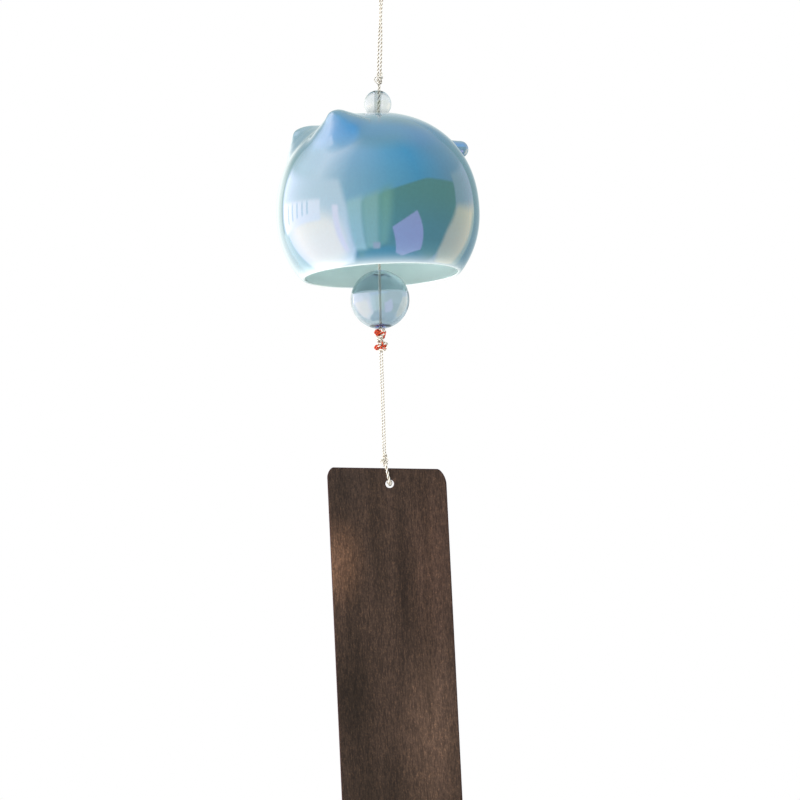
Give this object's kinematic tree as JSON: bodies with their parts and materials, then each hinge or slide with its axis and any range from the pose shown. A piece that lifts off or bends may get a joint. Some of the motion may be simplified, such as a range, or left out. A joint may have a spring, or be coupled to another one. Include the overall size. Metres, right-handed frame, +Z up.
{
  "type": "furin wind bell",
  "caption": "Round glazed ceramic wind bell with cat ears on a knotted cord, with a glass clapper ball inside the mouth and a wooden wind slat hung below.",
  "frame": {"origin": "centre of the hook's rod that the hanging loop's eye bears on", "axes": "+Z up along the hanging chain, +X to the viewer's right in the picture, +Y away from that viewer"},
  "size_m": [0.0701, 0.07, 0.3364],
  "materials": {
    "cord": "twisted, slight sheen",
    "red_thread": "twisted",
    "bead_glass": "clear, fire-polished",
    "ball_glass": "clear pale blue, blown",
    "glaze": "gloss with a pearl lustre",
    "slat_wood": "dark stained, smooth"
  },
  "bodies": {
    "hanger": {"hanging_loop": "cord"},
    "knot": {"loop_knot": "cord"},
    "stem": {"stem_cord": "cord", "top_bead": "bead_glass", "inner_bead": "bead_glass"},
    "bell": {"bell": "glaze"},
    "clapper_hitch": {"inner_knot": "cord"},
    "clapper": {"clapper_line": "cord", "clapper_ball": "ball_glass", "ball_knot": "cord", "ball_tie": "red_thread"},
    "line_hitch": {"line_knot": "cord", "line_tie": "red_thread"},
    "line": {"slat_line": "cord"},
    "slat_hitch": {"slat_knot": "cord", "slat_loop": "cord"},
    "slat": {"wind_slat": "slat_wood"}
  },
  "joints": [
    {"name": "cord_sway", "type": "hinge", "parent": "hanger", "child": "knot", "pos_m": [-0.00091, 0, -0.04199], "axis": [1, 0, 0], "range_deg": [-25, 25]},
    {"name": "cord_swing", "type": "hinge", "parent": "knot", "child": "stem", "pos_m": [-0.00091, 0, -0.04199], "axis": [0, 1, 0], "range_deg": [-25, 25]},
    {"name": "bell_turn", "type": "hinge", "parent": "stem", "child": "bell", "pos_m": [-0.00145, 0, -0.05529], "axis": [0, 0, 1], "continuous": true},
    {"name": "clapper_turn", "type": "hinge", "parent": "stem", "child": "clapper_hitch", "pos_m": [-0.00153, 0, -0.06771], "axis": [-0.019, 0, 0.9998], "continuous": true},
    {"name": "clapper_swing", "type": "hinge", "parent": "clapper_hitch", "child": "clapper", "pos_m": [-0.00153, 0, -0.06771], "axis": [0, 1, 0], "range_deg": [-15, 15]},
    {"name": "line_turn", "type": "hinge", "parent": "clapper", "child": "line_hitch", "pos_m": [-0.00026, 0, -0.13489], "axis": [-0.0325, 0, 0.9995], "continuous": true},
    {"name": "line_swing", "type": "hinge", "parent": "line_hitch", "child": "line", "pos_m": [-0.00026, 0, -0.13489], "axis": [0, 1, 0], "range_deg": [-45, 45]},
    {"name": "slat_tilt", "type": "hinge", "parent": "line", "child": "slat_hitch", "pos_m": [0.00102, 0, -0.17416], "axis": [1, 0, 0], "range_deg": [-45, 45]},
    {"name": "slat_rock", "type": "hinge", "parent": "slat_hitch", "child": "slat", "pos_m": [0.00276, 0, -0.18202], "axis": [0, 1, 0], "range_deg": [-18, 6]}
  ]
}
